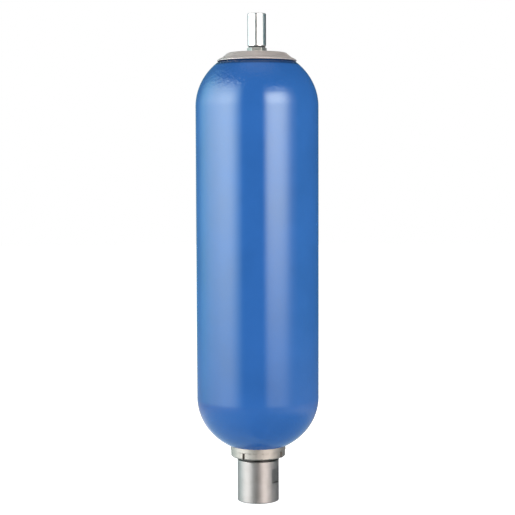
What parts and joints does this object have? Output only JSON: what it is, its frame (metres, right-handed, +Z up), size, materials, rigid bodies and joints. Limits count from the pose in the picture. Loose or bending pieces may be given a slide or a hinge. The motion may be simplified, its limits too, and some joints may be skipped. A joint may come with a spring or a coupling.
{
  "type": "bladder accumulator",
  "caption": "Upright cylindrical hydraulic accumulator with a rubber gas bladder, capped gas valve on top and a threaded fluid port with poppet valve below.",
  "frame": {"origin": "centre of the fluid port's bottom face, on which the accumulator stands", "axes": "+Z up along the vessel's axis from the fluid port to the gas valve; one spanner flat of the port faces 24 degrees from +X towards -Y"},
  "size_m": [0.226, 0.226, 0.9005],
  "materials": {
    "painted_shell": "semi-gloss blue enamel over forged steel",
    "pressed_plate": "satin pressed stainless steel",
    "bright_steel": "bright turned and plated steel",
    "turned_steel": "fine turned steel, passivated",
    "plain_steel": "machined steel",
    "spring_steel": "oil-tempered spring wire",
    "brass": "turned brass",
    "bronze": "sintered bearing bronze",
    "bag_rubber": "moulded nitrile rubber",
    "seal_rubber": "nitrile seal rubber",
    "backup_plastic": "white PTFE"
  },
  "bodies": {
    "vessel": {"shell": "painted_shell", "crown_plate": "pressed_plate", "stem_lock_nut": "bright_steel", "cap_seal_ring": "seal_rubber", "protective_cap": "bright_steel", "bladder": "bag_rubber", "bladder_stem": "plain_steel", "charging_valve_body": "plain_steel", "charging_valve_seal": "seal_rubber", "valve_core_body": "brass", "valve_core_spring": "spring_steel", "valve_seal_cap": "brass", "seal_cap_gasket": "seal_rubber", "port_body": "turned_steel", "poppet_spring": "spring_steel", "guide_bush": "bronze", "half_ring_front": "plain_steel", "half_ring_rear": "plain_steel", "anti_extrusion_ring": "bag_rubber", "flat_washer": "plain_steel", "port_o_ring": "seal_rubber", "backup_ring": "backup_plastic", "spacer_ring": "turned_steel", "ring_nut": "turned_steel", "bleed_screw": "plain_steel", "bleed_screw_seal": "seal_rubber"},
    "poppet": {"poppet": "plain_steel", "poppet_stop_washer": "plain_steel", "poppet_lock_nut": "plain_steel"},
    "valve_core_pin": {"valve_core_pin": "brass"}
  },
  "joints": [
    {"name": "poppet_lift", "type": "slide", "parent": "vessel", "child": "poppet", "axis": [0, 0, 1], "range_m": [-0.016, 0], "stiffness_N_per_m": 1500, "springref_m": 0.02, "deforming": ["poppet_spring"]},
    {"name": "valve_core_press", "type": "slide", "parent": "vessel", "child": "valve_core_pin", "axis": [0, 0, 1], "range_m": [-0.0015, 0], "stiffness_N_per_m": 800, "springref_m": 0.003, "deforming": ["valve_core_spring"]}
  ]
}
